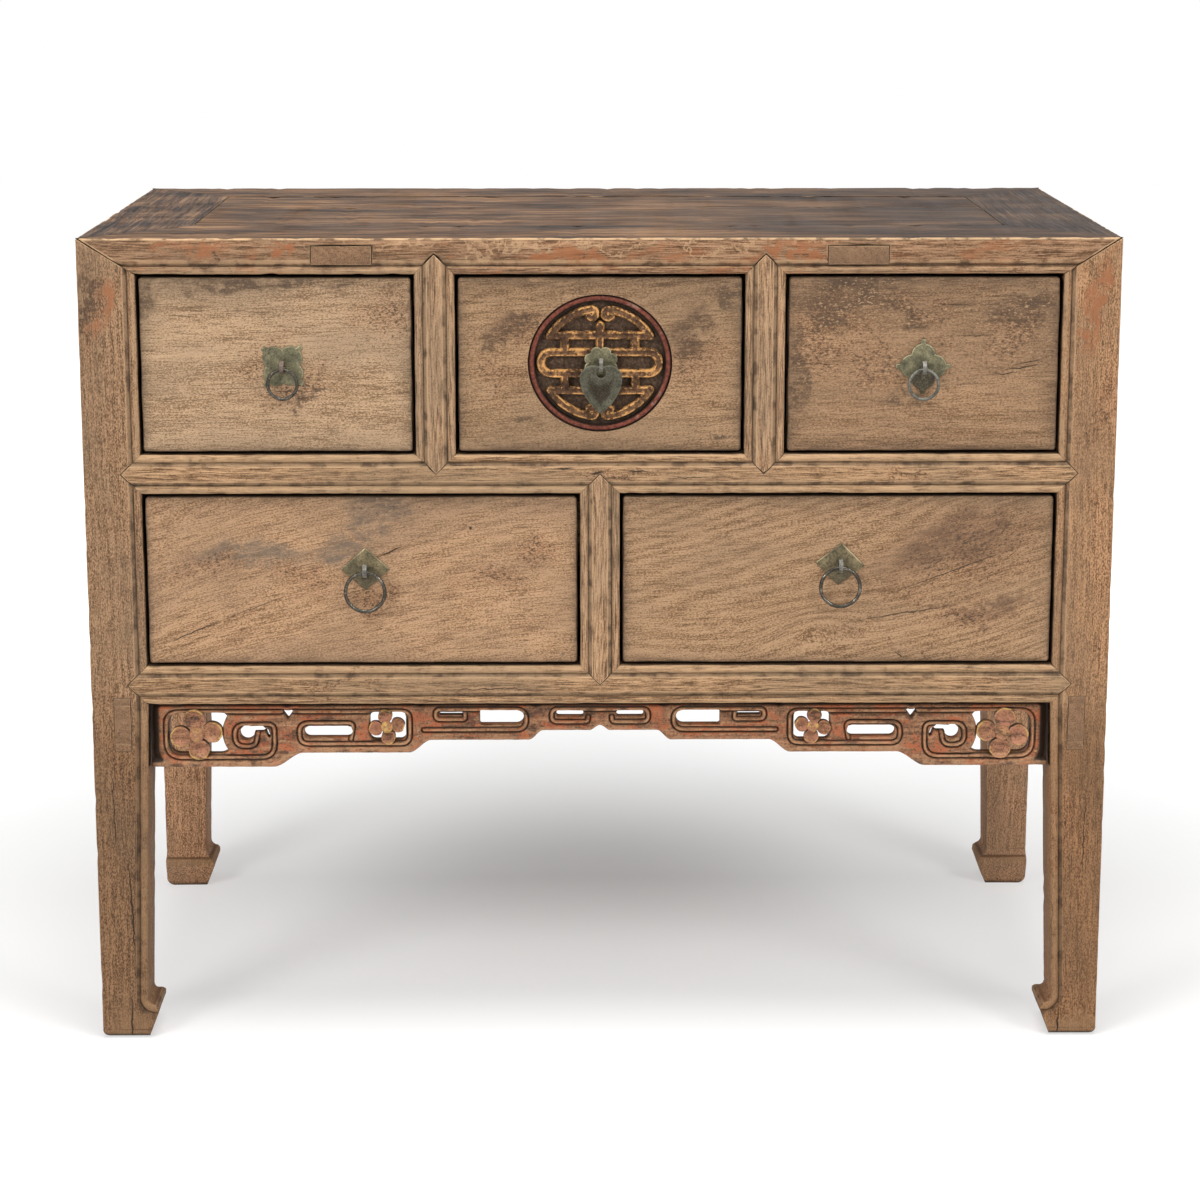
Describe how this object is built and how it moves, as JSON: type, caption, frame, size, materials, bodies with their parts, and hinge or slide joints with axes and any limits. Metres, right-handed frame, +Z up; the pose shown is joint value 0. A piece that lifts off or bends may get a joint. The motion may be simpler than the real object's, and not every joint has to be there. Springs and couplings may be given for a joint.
{
  "type": "coffer table",
  "caption": "Side table with drawers on straight legs with hoof feet: flush mitred frame, ring pulls, a round lattice panel and a pierced apron, for storing and displaying things.",
  "frame": {"origin": "on the floor, under the middle of the table and its pulls", "axes": "+X to the right along the front, +Y from the front to the back, +Z up"},
  "size_m": [1.08, 0.5654, 0.872],
  "materials": {
    "elm": "dry weathered elm, worn arrises",
    "dark_elm": "elm with worn dark lacquer",
    "drawer_elm": "dry planed elm, stained round the pulls",
    "carved_elm": "carved elm with remains of red lacquer",
    "lacquer": "carved wood, worn gilt bars and a dull red ring",
    "brass": "olive patinated sheet brass",
    "iron": "forged iron, dark and rubbed"
  },
  "bodies": {
    "carcass": {"leg_front_left": "elm", "leg_front_right": "elm", "leg_back_left": "elm", "leg_back_right": "elm", "top_rail_front": "dark_elm", "top_rail_back": "dark_elm", "top_rail_left": "dark_elm", "top_rail_right": "dark_elm", "top_boards": "dark_elm", "top_battens": "elm", "middle_rail_front": "elm", "bottom_rail_front": "elm", "divider_upper_left": "elm", "divider_upper_right": "elm", "divider_lower": "elm", "carved_apron": "carved_elm", "side_rail_left": "elm", "side_rail_right": "elm", "side_panel_left": "elm", "side_panel_right": "elm", "back_rails": "elm", "back_panels": "elm", "drawer_runners": "elm", "tenon_wedges": "elm"},
    "upper_left_drawer": {"upper_left_drawer_front": "drawer_elm", "upper_left_drawer_sides": "drawer_elm", "upper_left_drawer_back": "drawer_elm", "upper_left_drawer_bottom": "drawer_elm", "upper_left_pull_plate": "brass", "upper_left_pull_staple": "iron"},
    "upper_left_ring": {"upper_left_pull_ring": "iron"},
    "upper_middle_drawer": {"upper_middle_drawer_front": "drawer_elm", "upper_middle_drawer_sides": "drawer_elm", "upper_middle_drawer_back": "drawer_elm", "upper_middle_drawer_bottom": "drawer_elm", "upper_middle_pull_plate": "brass", "upper_middle_pull_staple": "iron", "roundel": "lacquer"},
    "upper_middle_ring": {"upper_middle_pull_ring": "iron"},
    "upper_right_drawer": {"upper_right_drawer_front": "drawer_elm", "upper_right_drawer_sides": "drawer_elm", "upper_right_drawer_back": "drawer_elm", "upper_right_drawer_bottom": "drawer_elm", "upper_right_pull_plate": "brass", "upper_right_pull_staple": "iron"},
    "upper_right_ring": {"upper_right_pull_ring": "iron"},
    "lower_left_drawer": {"lower_left_drawer_front": "drawer_elm", "lower_left_drawer_sides": "drawer_elm", "lower_left_drawer_back": "drawer_elm", "lower_left_drawer_bottom": "drawer_elm", "lower_left_pull_plate": "brass", "lower_left_pull_staple": "iron"},
    "lower_left_ring": {"lower_left_pull_ring": "iron"},
    "lower_right_drawer": {"lower_right_drawer_front": "drawer_elm", "lower_right_drawer_sides": "drawer_elm", "lower_right_drawer_back": "drawer_elm", "lower_right_drawer_bottom": "drawer_elm", "lower_right_pull_plate": "brass", "lower_right_pull_staple": "iron"},
    "lower_right_ring": {"lower_right_pull_ring": "iron"}
  },
  "joints": [
    {"name": "upper_left_drawer_slide", "type": "slide", "parent": "carcass", "child": "upper_left_drawer", "axis": [0, -1, 0], "range_m": [0, 0.3]},
    {"name": "upper_left_ring_swing", "type": "hinge", "parent": "upper_left_drawer", "child": "upper_left_ring", "pos_m": [-0.32925, -0.27535, 0.73645], "axis": [-1, 0, 0], "range_deg": [-8, 170]},
    {"name": "upper_middle_drawer_slide", "type": "slide", "parent": "carcass", "child": "upper_middle_drawer", "axis": [0, -1, 0], "range_m": [0, 0.3]},
    {"name": "upper_middle_ring_swing", "type": "hinge", "parent": "upper_middle_drawer", "child": "upper_middle_ring", "pos_m": [0.001, -0.27535, 0.73865], "axis": [-1, 0, 0], "range_deg": [-8, 170]},
    {"name": "upper_right_drawer_slide", "type": "slide", "parent": "carcass", "child": "upper_right_drawer", "axis": [0, -1, 0], "range_m": [0, 0.3]},
    {"name": "upper_right_ring_swing", "type": "hinge", "parent": "upper_right_drawer", "child": "upper_right_ring", "pos_m": [0.33625, -0.27535, 0.73545], "axis": [-1, 0, 0], "range_deg": [-8, 170]},
    {"name": "lower_left_drawer_slide", "type": "slide", "parent": "carcass", "child": "lower_left_drawer", "axis": [0, -1, 0], "range_m": [0, 0.3]},
    {"name": "lower_left_ring_swing", "type": "hinge", "parent": "lower_left_drawer", "child": "lower_left_ring", "pos_m": [-0.247, -0.27535, 0.52065], "axis": [-1, 0, 0], "range_deg": [-8, 170]},
    {"name": "lower_right_drawer_slide", "type": "slide", "parent": "carcass", "child": "lower_right_drawer", "axis": [0, -1, 0], "range_m": [0, 0.3]},
    {"name": "lower_right_ring_swing", "type": "hinge", "parent": "lower_right_drawer", "child": "lower_right_ring", "pos_m": [0.253, -0.27535, 0.52515], "axis": [-1, 0, 0], "range_deg": [-8, 170]}
  ]
}
